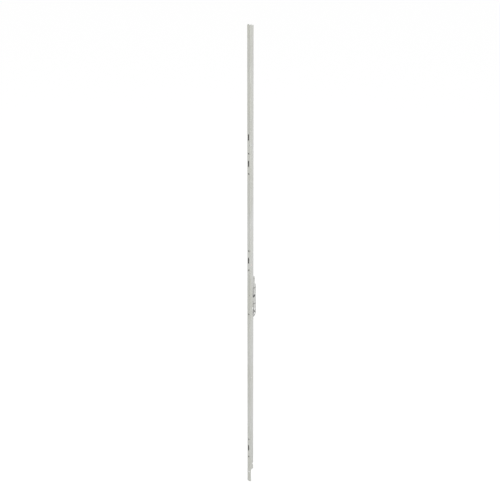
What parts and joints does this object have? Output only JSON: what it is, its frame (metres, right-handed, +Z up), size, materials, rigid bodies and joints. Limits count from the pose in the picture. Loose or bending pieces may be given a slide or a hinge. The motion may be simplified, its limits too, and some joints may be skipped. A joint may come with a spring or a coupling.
{
  "type": "multipoint door lock",
  "caption": "Slim multipoint gear for a lift-and-slide door: a long faceplate with pin slots, a sliding drive rod behind it, and a gearcase for a square spindle and a profile cylinder.",
  "frame": {"origin": "on the spindle axis, in the middle plane of the gearcase", "axes": "+Z up along the rail, -Y out of the faceplate's front, +X along the spindle towards the near side of the door"},
  "size_m": [0.0204, 0.0401, 2.238],
  "materials": {
    "rail_steel": "zinc-plated sheet steel with a matt, warm pale grey passivation",
    "rod_steel": "zinc-plated sheet steel, satin, with fine lines along its length",
    "hardened_steel": "hardened and zinc-plated steel, satin, a little darker",
    "rivet_steel": "zinc-plated steel, satin",
    "slide_steel": "stamped zinc-plated steel, satin",
    "spring_steel": "blued spring steel strip",
    "die_cast_zinc": "die-cast zinc alloy with a fine matt cast skin",
    "natural_acetal": "moulded natural acetal, satin",
    "buffer_rubber": "black moulded rubber, matt"
  },
  "bodies": {
    "lock_frame": {"faceplate_rail": "rail_steel", "screw_sleeves": "rail_steel", "sleeve_washers": "rail_steel", "guide_clip_upper": "natural_acetal", "guide_clip_middle": "natural_acetal", "guide_clip_lower": "natural_acetal", "gearcase_near": "die_cast_zinc", "gearcase_far": "die_cast_zinc", "case_rivets": "rivet_steel", "case_posts": "rail_steel", "hub_bushes": "natural_acetal", "rack_buffers": "buffer_rubber", "slide_pins": "rivet_steel", "slide_spring": "spring_steel"},
    "rod_assembly": {"drive_rod": "rod_steel", "lock_plate_upper": "hardened_steel", "lock_plate_middle": "hardened_steel", "lock_plate_lower": "hardened_steel", "lock_plate_rivets": "rivet_steel", "gear_rack": "hardened_steel", "rack_rivets": "rivet_steel"},
    "hub": {"drive_hub": "hardened_steel"},
    "slide": {"blocking_slide": "slide_steel"}
  },
  "joints": [
    {"name": "rod_slide", "type": "slide", "parent": "lock_frame", "child": "rod_assembly", "axis": [0, 0, -1], "range_m": [0, 0.03142]},
    {"name": "hub_turn", "type": "hinge", "parent": "lock_frame", "child": "hub", "pos_m": [0, 0, 0], "axis": [1, 0, 0], "range_deg": [0, 180]},
    {"name": "slide_lift", "type": "slide", "parent": "lock_frame", "child": "slide", "axis": [0, 0, 1], "range_m": [0, 0.005]}
  ],
  "couplings": [
    {"joint": "hub_turn", "follows": "rod_slide", "rad_per_m": 100}
  ]
}
